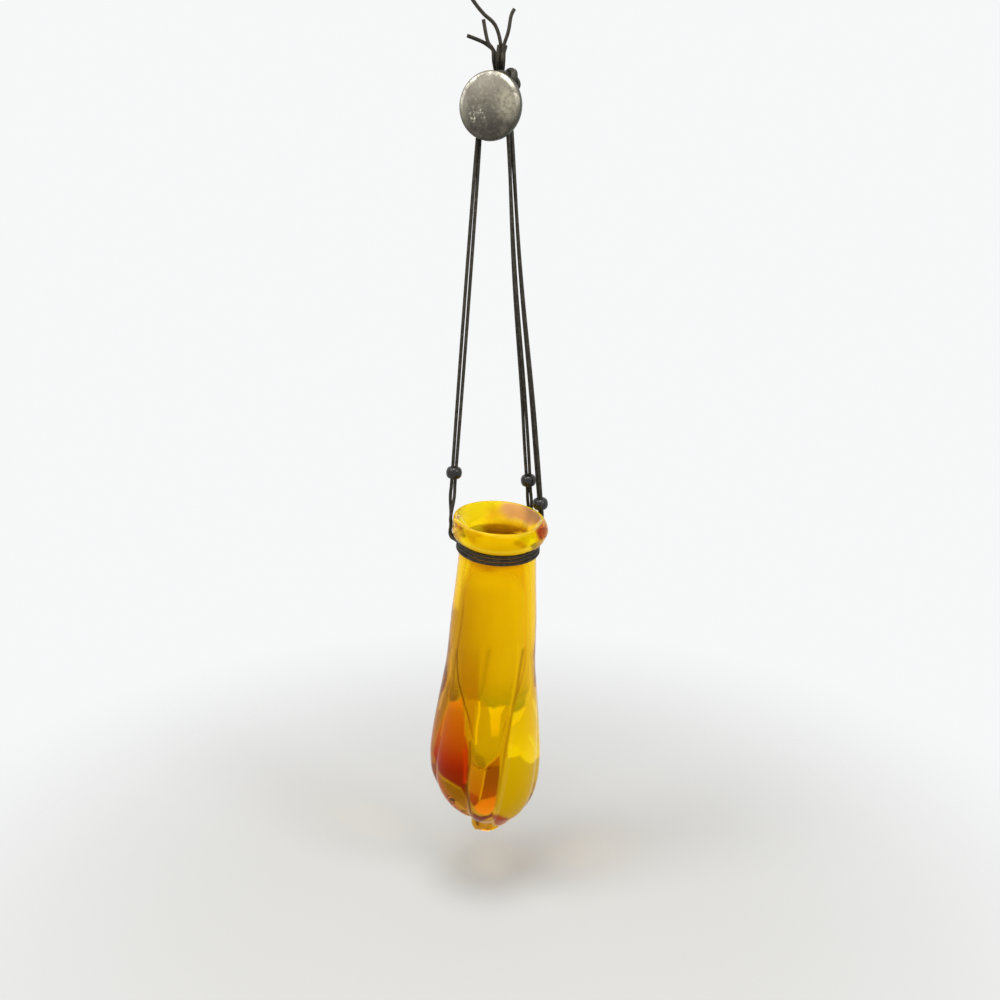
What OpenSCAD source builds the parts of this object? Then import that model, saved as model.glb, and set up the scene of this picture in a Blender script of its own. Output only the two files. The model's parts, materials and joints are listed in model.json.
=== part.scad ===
// Hanging glass vase: a thick blown amber vase with a rolled lip and a pinched, fluted bottom.
// Three leather cords are looped round its neck. The two ends of each cord go up through one bead,
// the six ends pass both sides of a round knob's stem, and are knotted over it.
// Origin: centre of the stem's back face, where the knob is screwed on. +Z up, the back is at y = 0.

/* [Knob] */
// Diameter of the knob's round head
head_d = 34; // [26:1:50]
// Thickness of the head at its rim
head_t = 4.2; // [3:0.1:8]
// Rise of the domed face over its rim
head_crown = 1.4; // [0.4:0.1:3]
// Radius of the head's front edge
head_round = 1.6; // [0.6:0.1:2.4]
// Diameter of the stem that the cords hang on
stem_d = 13; // [10:0.5:15]
// Diameter of the fixing hole in the stem's back end
screw_d = 6; // [3:0.5:6]
// Depth of the fixing hole
screw_depth = 15; // [8:1:17]
// Distance from the stem's back face to the cords on it
cord_out = 22; // [18:1:60]

/* [Cord] */
// Diameter of the leather cord
cord_d = 1.9; // [1.2:0.1:2.2]
// Room between a cord and what it touches
touch = 0.08; // [0.05:0.01:0.15]
// Distance between the turns on the neck
turn_pitch = 2.15; // [2.1:0.05:2.4]

/* [Beads] */
// Outer diameter of a bead
bead_d = 9; // [7:0.5:12]
// Length of a bead along its hole
bead_l = 6.6; // [5:0.2:9]
// Diameter of a bead's hole
bead_hole = 4.4; // [4.3:0.1:5.5]

/* [Glass] */
// Height of the vase from its rim to the tip of the nib
glass_h = 219; // [210:1:240]
// Diameter across the rolled lip
lip_d = 54.2; // [50:0.2:60]
// Height of the rolled lip
lip_h = 12; // [10:0.5:13]
// Diameter of the neck under the lip
neck_d = 43.8; // [40:0.2:46]
// Diameter across the belly
belly_d = 69.2; // [60:0.2:76]
// Depth of the belly's widest place under the rim
belly_at = 163; // [150:1:170]
// Depth of the lobes' lowest place under the rim
lobes_at = 208; // [198:1:214]
// Width of the pulled nib
nib_d = 12; // [8:0.5:16]
// Diameter of the throat
throat_d = 30.4; // [26:0.2:34]
// Thickness of the wall down to the belly
wall = 6.7; // [4:0.1:9]
// Depth of the bubble's shoulder under the rim
bubble_at = 112; // [100:1:120]
// Depth of the bubble's drawn-out end under the rim
pocket_at = 171; // [160:1:180]
// Depth of the folds in the bottom, as a share of its radius
fold = 0.16; // [0.04:0.01:0.2]
// How much lower the bottom's right side hangs than its left side
sag = 7; // [0:0.5:10]
// Sides of the glass
glass_sides = 48; // [32:8:64]

/* [Hidden] */
$fn = 64;

cord_r = cord_d / 2;
stem_r = stem_d / 2;
// Distance between two cords that lie side by side
pair_gap = cord_d + touch;
// Y of the cords on the stem
cord_y = -cord_out;
// The head's back face, just in front of the cords
head_y = cord_y - cord_d - 2 * touch;
// Where the six cords go into the knot side by side, and where they come out of it
ring_r = pair_gap + 0.05;
bundle_r = ring_r + cord_r;
knot_in = [0.4, cord_y + 1.5, stem_r + 4.9];
knot_out = [2.4, cord_y + 1.6, stem_r + 17.3];
// The overhand knot between them: its middle, its turns and the radius of the pressed bundle
knot_at = [7.8, cord_y + 4.3, stem_r + 7.2];
knot_turn_r = 4.5;
knot_roll = 2.05;
knot_depth = 3.3;
knot_r = 1.7;

// The vase hangs here: centre of its rim, and its lean towards the front and to the right
rim_at = [6.3, cord_y - 8.3, -218.4];
lean_front = 4.3;
lean_right = 5.5;
// Direction in which the lip's roll and the bottom's folded lobe stand out
drift_turn = 21;
// Share of the way down to the belly and share of the widening from neck to belly
swell = [[0, 0], [0.16, 0.12], [0.31, 0.26], [0.51, 0.38], [0.61, 0.52], [0.71, 0.68], [0.82, 0.85], [0.93, 0.98]];
// Share of the way from the belly to the lobes' end and share of the belly's radius
close_in = [[0, 1], [0.22, 0.98], [0.42, 0.91], [0.6, 0.79], [0.76, 0.61], [0.9, 0.4], [1, 0.27]];
// How far the section's centre drifts, by depth under the rim
drift = [[0, 0], [6, 1.4], [14, 0.6], [60, 0.9], [140, 0.9], [165, 1.5], [181, 2.4], [196, 3.4], [206, 4.6], [214, 4], [222, 2]];
// The folds: turn at the depth fold_from, and strength of each one
fold_from = 85;
fold_step = 45;
fold_turn = -69;
fold_twist = 0.26;
strength = [1, 0.7, 0.3, 0.25, 0.4, 0.3, 0.25, 0.4];

// Each cord's run: turn of its strand round the vase, number of its loop on the neck from the top,
// its bead's height over the lip, the turn of its two ends at the lip and where the bead slides,
// the length under the stem in which they turn round each other, and where it hangs on the stem
left_run = [199, 0, 27, -71, 30, 42, -1, 1.6];
middle_run = [73, 1, 18.5, 163, 180, 160, 1, 0];
right_run = [54, 2, 7, 144, 150, 160, 1, 4.3];
// Levels of the loops
first_level = lip_h + 2.75;

// Value at x in a table of [x, value], in straight steps
function at(x, table, i = 0) =
    x <= table[0][0] ? table[0][1] :
    i >= len(table) - 1 ? table[len(table) - 1][1] :
    x <= table[i + 1][0] ?
        table[i][1] + (table[i + 1][1] - table[i][1]) * (x - table[i][0]) / (table[i + 1][0] - table[i][0]) :
    at(x, table, i + 1);

// Smooth curve through the points p, n steps from each one to the next
function smooth(p, n) = [
    for (i = [0:len(p) - 2], j = [0:n - 1])
        let (a = p[max(i - 1, 0)], b = p[i], c = p[i + 1], d = p[min(i + 2, len(p) - 1)], u = j / n)
        b + u * (c - a) / 2 + u * u * (2 * a - 5 * b + 4 * c - d) / 2 + u * u * u * (3 * b - a - 3 * c + d) / 2,
    p[len(p) - 1]
];
function ease(x) = x <= 0 ? 0 : x >= 1 ? 1 : x * x * (3 - 2 * x);
function unit(v) = v / norm(v);
function polar(r, turn) = [r * cos(turn), r * sin(turn)];

// A point of the vase, by its radius, turn and depth under the rim, where it hangs
function hang(r, turn, depth) =
    let (c = polar(at(depth, drift), drift_turn), p = polar(r, turn) + c)
    rim_at + lean([p[0], p[1], -depth]);
function lean(v) =
    let (y = v[1] * cos(lean_front) - v[2] * sin(lean_front), z = v[1] * sin(lean_front) + v[2] * cos(lean_front))
    [v[0] * cos(lean_right) + z * sin(lean_right), y, z * cos(lean_right) - v[0] * sin(lean_right)];

// Outside of the vase from the nib's tip up to the rim, as [depth, radius]
neck_at = lip_h + 4;
outside = smooth([
    [glass_h, nib_d * 0.22],
    [glass_h - 1.5, nib_d * 0.4],
    [glass_h - 6, nib_d * 0.5],
    for (k = [len(close_in) - 1:-1:0])
        [belly_at + (lobes_at - belly_at) * close_in[k][0], belly_d / 2 * close_in[k][1]],
    for (k = [len(swell) - 1:-1:0])
        [neck_at + (belly_at - neck_at) * swell[k][0], neck_d / 2 + (belly_d - neck_d) / 2 * swell[k][1]],
    [lip_h + 1.8, neck_d / 2 + 0.4],
    [lip_h, lip_d / 2 - 1.6],
    [lip_h * 0.7, lip_d / 2 - 0.1],
    [lip_h * 0.4, lip_d / 2],
    [lip_h * 0.1, lip_d / 2 - 0.9],
    [0, lip_d / 2 - 2]
], 2);
// Inside from the rim down the funnel of the lip, the throat and the bubble to its drawn-out end
inside = smooth([
    [0.5, lip_d / 2 - 3.2],
    [2.6, lip_d / 2 - 5],
    [6.5, lip_d / 2 - 7.6],
    [lip_h, throat_d / 2 + 1.2],
    [lip_h + 5, throat_d / 2],
    [lip_h + 12, throat_d / 2],
    [lip_h + 28, neck_d / 2 + 2 - wall],
    [lip_h + 54, neck_d / 2 + 3.5 - wall],
    [bubble_at - 20, neck_d / 2 + 5 - wall],
    [bubble_at, neck_d / 2 + 5.4 - wall],
    [bubble_at + 12, 16.5],
    [bubble_at + 20, 11],
    [bubble_at + 32, 8.4],
    [pocket_at - 13, 7],
    [pocket_at - 4, 4.6]
], 2);

// The pinched folds: sharp valleys between lobes, that turn as they go down
function valley(x) = exp(-sqrt(x * x + 0.02));
function wrap(a) = a - 360 * floor((a + 180) / 360);
function folds(turn, depth) = let (twist = fold_twist * max(depth - fold_from, 0), n = len(strength)) sum([
    for (k = [0:n - 1]) strength[k] * valley(wrap(turn - fold_turn - k * fold_step + twist) / 9)
]);
function sum(v, i = 0) = i < len(v) ? v[i] + sum(v, i + 1) : 0;
function fold_depth(depth) = fold * (0.06 * ease((depth - 34) / 20) + 0.94 * ease((depth - 96) / 80));
function sagging(r, depth) = sag / belly_d * r * ease((depth - belly_at) / 30);
function ring(depth, r, share) = [
    for (k = [0:glass_sides - 1])
        let (turn = 360 * k / glass_sides, c = polar(at(depth, drift), drift_turn))
        let (p = polar(r * (1 - share * folds(turn, depth)), turn) + c)
        [p[0], p[1], -depth - sagging(r, depth) * cos(turn - drift_turn)]
];

// Closed skin round a stack of rings, with a point at each end
module skin(rings, first, last) {
    n = len(rings[0]);
    m = len(rings);
    points = [for (q = rings) each q, first, last];
    faces = [
        for (k = [0:n - 1]) [n * m, k, (k + 1) % n],
        for (i = [0:m - 2], k = [0:n - 1]) [i * n + k, (i + 1) * n + k, i * n + (k + 1) % n],
        for (i = [0:m - 2], k = [0:n - 1]) [i * n + (k + 1) % n, (i + 1) * n + k, (i + 1) * n + (k + 1) % n],
        for (k = [0:n - 1]) [n * m + 1, (m - 1) * n + (k + 1) % n, (m - 1) * n + k]
    ];
    polyhedron(points, faces, convexity = 8);
}

// Round tube along a route of the radius r, or of one radius for each point, its rings carried on from one point to the next without twist
function along(route, i) =
    unit(i == 0 ? route[1] - route[0] : i == len(route) - 1 ? route[i] - route[i - 1] :
        unit(route[i + 1] - route[i]) + unit(route[i] - route[i - 1]));
function square_to(v, d) = unit(v - (v * d) * d);
function sides(route, i = 0, last = [0.3, 1, 0.2]) =
    i == len(route) ? [] :
    let (d = along(route, i), v = square_to(last, d)) concat([[d, v]], sides(route, i + 1, v));
module tube(route, r, count = 8) {
    frames = sides(route);
    rings = [
        for (i = [0:len(route) - 1])
            let (d = frames[i][0], v = frames[i][1], w = cross(d, v))
            [for (k = [0:count - 1])
                route[i] + (is_num(r) ? r : r[i]) * (cos(360 * k / count) * v + sin(360 * k / count) * w)]
    ];
    skin(rings, route[0], route[len(route) - 1]);
}

// Middle of a strand at the height of the stem's axis
hook_r = stem_r + cord_r + touch;
function top(run) = [run[6] * hook_r, cord_y + run[7], 0];
// Where a strand lies against the lip
contact_depth = 0.3 * lip_h;
contact_r = lip_d / 2 + cord_r + 4 * touch;
function contact(run) = hang(contact_r, run[0], contact_depth);

// One end of a cord: side is -1 or 1, and the other end lies beside it
function level(run) = first_level + run[1] * turn_pitch;
function loop_r(run) = lookup(level(run), outside) + cord_r + 2 * touch;
function lead(run, side) =
    let (half = pair_gap / 2 / contact_r * 180 / PI, deep = level(run), r = loop_r(run))
    [
        hang(r + 0.9, run[0] + side * 11, deep),
        hang(r + 2.2, run[0] + side * 6.5, deep - 0.2),
        hang(contact_r - 1.3, run[0] + side * 3.6, (deep + lip_h) / 2 + 0.5),
        hang(contact_r - 0.3, run[0] + side * (half + 0.3), lip_h - 0.8),
        hang(contact_r, run[0] + side * half, contact_depth + 3)
    ];
function loop(run) = [
    for (k = [0:26]) hang(loop_r(run), run[0] + 15 + k * 330 / 26, level(run))
];

// Middle of a strand at the distance s over the lip, and its two ends beside each other there
function strand_dir(run) = unit(top(run) - contact(run));
function strand(run, s) = contact(run) + s * strand_dir(run);
function beside(p, side, turn, gap) = p + side * gap / 2 * [cos(turn), sin(turn), 0];

// One end of a cord from the lip up to the stem. It turns round its partner under the bead and
// again towards the stem, and runs straight where the bead slides.
function up(run, side) =
    let (low = run[2] - bead_l, high = norm(top(run) - contact(run)) - run[5], turn = run[4])
    [
        for (k = [0:4])
            let (u = k / 5, gap = pair_gap + 0.5 * sin(180 * u) * min(low, 12) / 12)
            beside(strand(run, low * u), side, run[3] + (turn - run[3]) * ease(u), gap),
        beside(strand(run, low), side, turn, pair_gap),
        for (k = [0:7])
            beside(strand(run, high + run[5] * k / 8), side, turn + (90 - turn) * k / 8, pair_gap)
    ];

// The same end on over the stem to its place in the ring of six at the knot
function over(run, side, place) =
    let (y = cord_y + run[7] + side * pair_gap / 2, spot = knot_in + ring_r * [cos(place), sin(place), 0])
    [
        for (k = [0:5])
            [run[6] * hook_r * cos(10 * k), y + (spot[1] - y) * k / 7, hook_r * sin(10 * k)],
        spot - [0, 0, 2.2],
        spot
    ];
function end(run, side, place) = concat(lead(run, side), up(run, side), over(run, side, place));
function back(route) = [for (i = [len(route) - 1:-1:0]) route[i]];
module cord(run, place_a, place_b) {
    color([0.09, 0.085, 0.08])
        tube(concat(back(end(run, 1, place_a)), loop(run), end(run, -1, place_b)), cord_r);
}

// Centreline of the knot: the bundle goes round and through its own loop
knot_route = concat([knot_in], smooth(concat(
    [knot_in + [0, 0, 1], knot_in + [0, 0, 2.2], knot_in + [2.2, -0.5, 5.7]],
    [for (k = [0:15])
        let (s = -43 - k * 300 / 15, out = knot_turn_r + knot_roll * cos(3 * s))
        knot_at + [-out * cos(2 * s), knot_depth * sin(3 * s), -out * sin(2 * s)]],
    [knot_out + [-2, 3.9, -3.5], knot_out + [-0.6, 0.6, -2.3], knot_out + [0, 0, -1]]
), 3), [knot_out]);

module bead(run) {
    d = strand_dir(run);
    color([0.05, 0.045, 0.04])
        translate(strand(run, run[2]))
            rotate([0, acos(d[2]), atan2(d[1], d[0])])
                rotate_extrude()
                    polygon([
                        for (a = [-90:15:90])
                            [bead_hole / 2 + 0.3 + (bead_d / 2 - bead_hole / 2 - 0.3) * cos(a), bead_l / 2 * sin(a)],
                        [bead_hole / 2, bead_l / 2],
                        [bead_hole / 2, -bead_l / 2]
                    ]);
}

module glass_vase() {
    color([0.85, 0.62, 0.05])
        translate(rim_at)
            rotate([lean_front, lean_right, 0])
                skin(
                    concat(
                        [for (q = outside) ring(q[0], q[1], fold_depth(q[0]))],
                        [for (q = inside) ring(q[0], q[1], 0.35 * fold_depth(q[0]))]
                    ),
                    [1.9, 0.7, -glass_h - 0.6],
                    [1.8, 0.7, -pocket_at]
                );
}

module left_cord() cord(left_run, 210, 150);

module middle_cord() cord(middle_run, 330, 270);

module right_cord() cord(right_run, 90, 30);

module top_knot() {
    last = len(knot_route) - 1;
    color([0.09, 0.085, 0.08])
        tube(knot_route, [
            for (i = [0:last])
                knot_r + (bundle_r - knot_r) * (2 - ease(i / 7) - ease((last - i) / 7))
        ], 12);
}

// The six ends fan out over the knot. Their points are hand-chosen, from the knot's end up.
tails = [
    [[0, 2, 3.6], [0.4, 1.6, 7], [-0.9, 0.9, 12.7], [-3.1, 0.2, 16.7], [-7.4, -2.6, 20.7], [-11.9, -5.6, 26.7], [-15.4, -8, 33.2]],
    [[-2.6, -1.5, 3.6], [-4.8, -2.1, 6.7], [-6, -2.6, 11.2], [-6.9, -3.6, 17.7]],
    [[-2.7, 0.9, 2.9], [-4.9, 0.3, 5.3], [-8.4, -2, 7.7], [-14.4, -7, 10]],
    [[0.5, -2.1, 2.6], [0.9, -2.3, 4.2], [1.1, -2.4, 5.5]],
    [[2.3, -0.6, 3], [3.2, -0.2, 6.3], [5.2, 0.4, 12.2], [6.2, 1.4, 19.2], [7.6, 2.4, 22.5]],
    [[2.3, 1.7, 2.6], [2.6, 2.4, 4.2], [2.8, 3, 5.8]]
];
tail_places = [90, 210, 150, 270, 330, 30];
module cord_tails() {
    color([0.09, 0.085, 0.08])
        for (i = [0:5])
            let (spot = knot_out + ring_r * [cos(tail_places[i]), sin(tail_places[i]), 0])
            tube(concat([spot], smooth(concat([spot + [0, 0, 1]], [for (q = tails[i]) knot_out + q]), 3)), cord_r);
}

module left_bead() bead(left_run);

module middle_bead() bead(middle_run);

module right_bead() bead(right_run);

// Round stem with a low domed head, turned in one piece
module round_knob() {
    flat_r = head_d / 2 - head_round;
    edge = -head_y + head_t;
    color([0.55, 0.52, 0.49])
        rotate([90, 0, 0])
            difference() {
                rotate_extrude($fn = 96)
                    polygon([
                        [0, 0],
                        [stem_r, 0],
                        [stem_r, -head_y],
                        [head_d / 2 - 0.6, -head_y],
                        [head_d / 2, -head_y + 0.6],
                        for (a = [0:15:75])
                            [flat_r + head_round * cos(a), edge - head_round + head_round * sin(a)],
                        for (u = [1:-0.125:0])
                            [flat_r * u, edge + head_crown * (1 - u * u)]
                    ]);
                translate([0, 0, -1])
                    cylinder(h = screw_depth + 1, d = screw_d);
            }
}

glass_vase();
left_cord();
middle_cord();
right_cord();
top_knot();
cord_tails();
left_bead();
middle_bead();
right_bead();
round_knob();
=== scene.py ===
# %% [markdown]
# # Hanging glass vase
# A thick blown amber vase hangs by three leather laces from a round metal knob. The packed CAD
# model gives the frame: each piece below takes the place of one of its nodes, or of part of one,
# in the same place and size. The CAD pieces are correct but plain, so each is made again here on
# a finer net, and gets its finish.

# %% Load the frame
import json
from collections import namedtuple
import bpy
import numpy as np
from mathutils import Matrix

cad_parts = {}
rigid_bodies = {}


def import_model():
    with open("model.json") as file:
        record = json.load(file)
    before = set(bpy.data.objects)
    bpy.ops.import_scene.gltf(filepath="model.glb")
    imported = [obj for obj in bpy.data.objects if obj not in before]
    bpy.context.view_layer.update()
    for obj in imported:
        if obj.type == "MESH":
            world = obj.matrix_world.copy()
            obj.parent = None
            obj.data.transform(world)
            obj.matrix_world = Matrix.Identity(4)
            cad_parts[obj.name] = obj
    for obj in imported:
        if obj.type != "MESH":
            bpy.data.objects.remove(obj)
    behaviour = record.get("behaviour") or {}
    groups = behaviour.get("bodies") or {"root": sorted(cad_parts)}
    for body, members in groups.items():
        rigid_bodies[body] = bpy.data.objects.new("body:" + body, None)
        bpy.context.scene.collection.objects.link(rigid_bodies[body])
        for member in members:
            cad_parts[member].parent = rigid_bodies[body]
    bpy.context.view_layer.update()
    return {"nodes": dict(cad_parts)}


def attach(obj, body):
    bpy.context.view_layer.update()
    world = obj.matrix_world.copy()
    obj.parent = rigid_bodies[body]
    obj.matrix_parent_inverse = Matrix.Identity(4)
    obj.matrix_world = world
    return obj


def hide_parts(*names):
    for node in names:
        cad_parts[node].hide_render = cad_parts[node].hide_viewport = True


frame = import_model()
print("nodes:", sorted(frame["nodes"]))

# %% [markdown]
# ## Camera
# The photograph was taken close by, from a little above and to the right. Its place could be
# guessed by eye, or worked out. Here it was worked out, from three things whose real shape is
# known: the knob's round head, the spread of the strands and the round lip. They give a 35 mm
# lens at half a metre, turned 21 degrees round the knob and looking down by 15.2 degrees.
#
# Glass bends light many times. With the usual few bounces, deep folds come out black, so the
# scene allows more of them.

# %% Camera
def add_object(name, data):
    """A new object of the scene, at the origin."""
    made = bpy.data.objects.new(name, data)
    bpy.context.scene.collection.objects.link(made)
    return made


lens = bpy.data.cameras.new("camera")
lens.lens = 35
lens.sensor_width = 36
camera = add_object("camera", lens)
camera.location = (0.1968, -0.5249, -0.0645)
camera.rotation_euler = np.radians((90 - 15.2, 0, 21))
bpy.context.scene.camera = camera
bpy.context.scene.view_settings.view_transform = "Standard"
cycles = bpy.context.scene.cycles
cycles.max_bounces, cycles.glossy_bounces, cycles.transmission_bounces = 32, 16, 24
print("camera at", tuple(camera.location))

# %% [markdown]
# ## Curves
# Laces, knot and profiles are all smooth curves. Blender has curve objects for them, but here the
# pieces need exact places and lengths, so the curves are worked out with numpy. Points are in
# millimetres until the mesh is made.

# %% Curves
def smooth(points, n):
    """A smooth curve through points, with n steps between two of them. It passes each point in the
    direction from the one before it to the one after it.

    With neighbours a, b, c, d and u from 0 to 1 a point is
    b + u(c-a)/2 + u^2(2a-5b+4c-d)/2 + u^3(3b-a-3c+d)/2.
    """
    p = np.asarray(points, float)
    a, b, c, d = np.vstack([p[:1], p[:-2]]), p[:-1], p[1:], np.vstack([p[2:], p[-1:]])
    u = (np.arange(n) / n)[None, :, None]
    a, b, c, d = (q[:, None, :] for q in (a, b, c, d))
    curve = b + u * (c - a) / 2
    curve = curve + u**2 * (2 * a - 5 * b + 4 * c - d) / 2 + u**3 * (3 * b - a - 3 * c + d) / 2
    return np.vstack([curve.reshape(-1, p.shape[1]), p[-1:]])


def even(curve, step):
    """The same curve, with a point at equal distances of about step millimetres along it."""
    s = np.r_[0, np.cumsum(np.linalg.norm(np.diff(curve, axis=0), axis=1))]
    t = np.linspace(0, s[-1], int(s[-1] / step) + 1)
    return np.stack([np.interp(t, s, curve[:, k]) for k in range(curve.shape[1])], axis=1)


def carried_frame(curve, side=(0.3, 1.0, 0.2)):
    """Directions along and across a curve. The side is carried from point to point, and what of it
    lies along the curve is taken off each time, so that it never twists."""
    along = np.gradient(curve, axis=0)
    along /= np.linalg.norm(along, axis=1)[:, None]
    side, sides = np.array(side), []
    for d in along:
        side = side - side.dot(d) * d
        side /= np.linalg.norm(side)
        sides.append(side)
    return along, np.array(sides), np.cross(along, sides)


corner = even(smooth([[0, 0, 0], [10, 0, 0], [10, 10, 0]], 8), 1)
print("a smooth corner of", len(corner), "points")

# %% [markdown]
# ## Skins
# Each piece is a stack of rings: the glass, a lace, a bead. A tube modifier or a lathe tool could
# make some of them, but one function that joins rings makes them all, and it leaves no seam. A
# closed end gets a pole, a point in the middle with a fan of triangles round it.

# %% Meshes
def new_mesh(name, vertices, faces, smooth_shade=True):
    """A mesh object at the origin, from points in millimetres."""
    mesh = bpy.data.meshes.new(name)
    mesh.from_pydata((np.asarray(vertices) / 1000).tolist(), [], faces)
    mesh.polygons.foreach_set("use_smooth", np.full(len(mesh.polygons), smooth_shade))
    mesh.validate()
    return add_object(name, mesh)


def ring_faces(rows, n, closed=False):
    """Quads between rows of n points: point k of a row joins points k and k + 1 of the next row.
    The last row is joined to the first one if closed."""
    k = np.arange(n)
    faces = []
    for i in range(rows if closed else rows - 1):
        lower, upper = i * n, ((i + 1) % rows) * n
        faces += np.c_[lower + k, lower + (k + 1) % n, upper + (k + 1) % n, upper + k].tolist()
    return faces


print("two rings of four points give", len(ring_faces(2, 4)), "quads")

# %% Skins, tubes and turned pieces
def skin(name, rings, first=None, last=None):
    """Closed skin round a stack of rings (rows, n, 3): quads between them, and a fan to a pole at
    each end."""
    rings = np.asarray(rings, float)
    rows, n, _ = rings.shape
    first = rings[0].mean(0) if first is None else first
    last = rings[-1].mean(0) if last is None else last
    k = np.arange(n)
    faces = ring_faces(rows, n)
    faces += np.c_[np.full(n, rows * n), (k + 1) % n, k].tolist()
    faces += np.c_[np.full(n, rows * n + 1), (rows - 1) * n + k, (rows - 1) * n + (k + 1) % n].tolist()
    return new_mesh(name, np.vstack([rings.reshape(-1, 3), [first, last]]), faces)


def tube_rings(curve, radius, n=14):
    """Rings of n points round a curve: point + radius (cos(turn) side + sin(turn) across). The
    radius is one number, or one for each point and turn."""
    _, side, across = carried_frame(curve)
    turn = 2 * np.pi * np.arange(n)[None, :, None] / n
    spokes = np.cos(turn) * side[:, None, :] + np.sin(turn) * across[:, None, :]
    return curve[:, None, :] + np.broadcast_to(radius, spokes.shape[:2])[..., None] * spokes


def lathe(name, profile, n, place=lambda p: p):
    """A closed profile of rows (radius r, height h), turned about the Z axis:
    (r cos(turn), r sin(turn), h), and then placed."""
    turn = 2 * np.pi * np.arange(n) / n
    rows = [np.stack([r * np.cos(turn), r * np.sin(turn), np.full(n, h)], axis=1) for r, h in profile]
    return new_mesh(name, place(np.vstack(rows)), ring_faces(len(rows), n, closed=True))


print("a tube of", len(tube_rings(corner, 1.0)), "rings round the corner")

# %% [markdown]
# ## The glass
# The vase is one thick piece of blown glass: a rolled lip, a neck, a body pinched into lobes while
# hot, and the nib where the last glass was pulled off. It could be sculpted, but then it would
# drift away from the CAD model. So it is a surface with two parameters, the depth under the rim
# and the turn round the middle line, with the tables of the CAD source on a finer net. Below are
# the two profiles: the outside one from the nib up to the rim, the inside one from the rim down.
# The inside narrows like a funnel, because a round end draws a dark ring across the glass.

# %% Glass profiles
# H is a height, D a diameter, and AT a depth under the rim.
GLASS_H, LIP_D, LIP_H, NECK_D = 219, 54.2, 12, 43.8
BELLY_D, BELLY_AT, LOBES_AT, NIB_D = 69.2, 163, 208, 12
THROAT_D, WALL, BUBBLE_AT, POCKET_AT = 30.4, 6.7, 112, 171
SWELL = [  # from the neck to the belly: share of the way down, share of the widening
    (0, 0), (0.16, 0.12), (0.31, 0.26), (0.51, 0.38), (0.61, 0.52), (0.71, 0.68), (0.82, 0.85), (0.93, 0.98)
]
CLOSE_IN = [  # from the belly to where the lobes meet: share of the way down, share of the radius
    (0, 1), (0.22, 0.98), (0.42, 0.91), (0.6, 0.79), (0.76, 0.61), (0.9, 0.4), (1, 0.27)
]


def outside_profile(n):
    """Rows (depth, radius) of the outside, a smooth curve through nib, lobes, body and lip."""
    lip_r, neck_r, belly_r, neck_at = LIP_D / 2, NECK_D / 2, BELLY_D / 2, LIP_H + 4
    nib = [(GLASS_H, NIB_D * 0.06), (GLASS_H - 1.3, NIB_D * 0.2), (GLASS_H - 3.6, NIB_D * 0.42),
           (GLASS_H - 7, NIB_D * 0.61)]
    lobes = [(BELLY_AT + (LOBES_AT - BELLY_AT) * a, belly_r * b) for a, b in CLOSE_IN[::-1]]
    body = [(neck_at + (BELLY_AT - neck_at) * a, neck_r + (belly_r - neck_r) * b) for a, b in SWELL[::-1]]
    lip = [(LIP_H + 1.8, neck_r + 0.4), (LIP_H, lip_r - 1.6), (LIP_H * 0.7, lip_r - 0.1),
           (LIP_H * 0.4, lip_r), (LIP_H * 0.1, lip_r - 0.9), (0, lip_r - 2)]
    return smooth(nib + lobes + body + lip, n)


def inside_profile(n):
    """Rows (depth, radius) of the hollow inside, a smooth curve through mouth, throat and funnel."""
    lip_r, throat_r, hollow_r = LIP_D / 2, THROAT_D / 2, NECK_D / 2 - WALL
    mouth = [(0.5, lip_r - 3.2), (2.6, lip_r - 5), (6.5, lip_r - 7.6), (LIP_H, throat_r + 1.2)]
    throat = [(LIP_H + 5, throat_r), (LIP_H + 12, throat_r), (LIP_H + 28, hollow_r + 2),
              (LIP_H + 54, hollow_r + 3.5)]
    bubble = [(BUBBLE_AT - 24, hollow_r + 5), (BUBBLE_AT - 8, hollow_r + 4.2),
              (BUBBLE_AT + 6, hollow_r + 1.6), (BUBBLE_AT + 20, 13.2), (BUBBLE_AT + 32, 10.6)]
    funnel = [(POCKET_AT - 14, 8.2), (POCKET_AT - 6, 5.6), (POCKET_AT - 2, 2.6)]
    return smooth(mouth + throat + bubble + funnel, n)


print("outside", len(outside_profile(12)), "rows, inside", len(inside_profile(12)), "rows")

# %% [markdown]
# ### Lobes, lean and nib
# The lobes are what stays between eight valleys. Each valley was pressed in with a tool, and the
# turning of the hot glass twisted them a little. They are taken off the radius as a share of it,
# so that they fade out at the poles by themselves.
#
# The whole vase also leans a little, as it hangs, and its middle line drifts to the right and, at
# the nib, back to the left. The lobes sag on the right, and the nib stands on a small heel.

# %% Valleys between the lobes
VALLEYS = (1, 0.7, 0.3, 0.25, 0.4, 0.3, 0.25, 0.4)
FIRST_VALLEY, VALLEY_WIDTH, VALLEY_DEPTH = -69, 9, 0.16
TWIST, TWIST_FROM = 0.26, 85


def ease(x):
    """A soft step: x x (3 - 2x), with x held between 0 and 1."""
    x = np.clip(x, 0, 1)
    return x * x * (3 - 2 * x)


def folds(turn, depth):
    """Sum of eight valleys at a turn in degrees and a depth in millimetres. Each one is
    exp(-sqrt(x^2 + 0.02)), with x = 1 nine degrees from its middle. They are 45 degrees apart and
    turn by 0.26 degrees for each millimetre below 85."""
    twist = TWIST * max(depth - TWIST_FROM, 0)
    total = np.zeros_like(turn)
    for k, strength in enumerate(VALLEYS):
        off = (turn - FIRST_VALLEY - 45 * k + twist + 180) % 360 - 180
        total += strength * np.exp(-np.sqrt((off / VALLEY_WIDTH) ** 2 + 0.02))
    return total


def fold_depth(depth):
    """How deep the valleys are, as a share of the radius: 1 hundredth below the neck, and 16
    hundredths at the lobes."""
    return VALLEY_DEPTH * (0.06 * ease((depth - 34) / 20) + 0.94 * ease((depth - 96) / 80))


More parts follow.
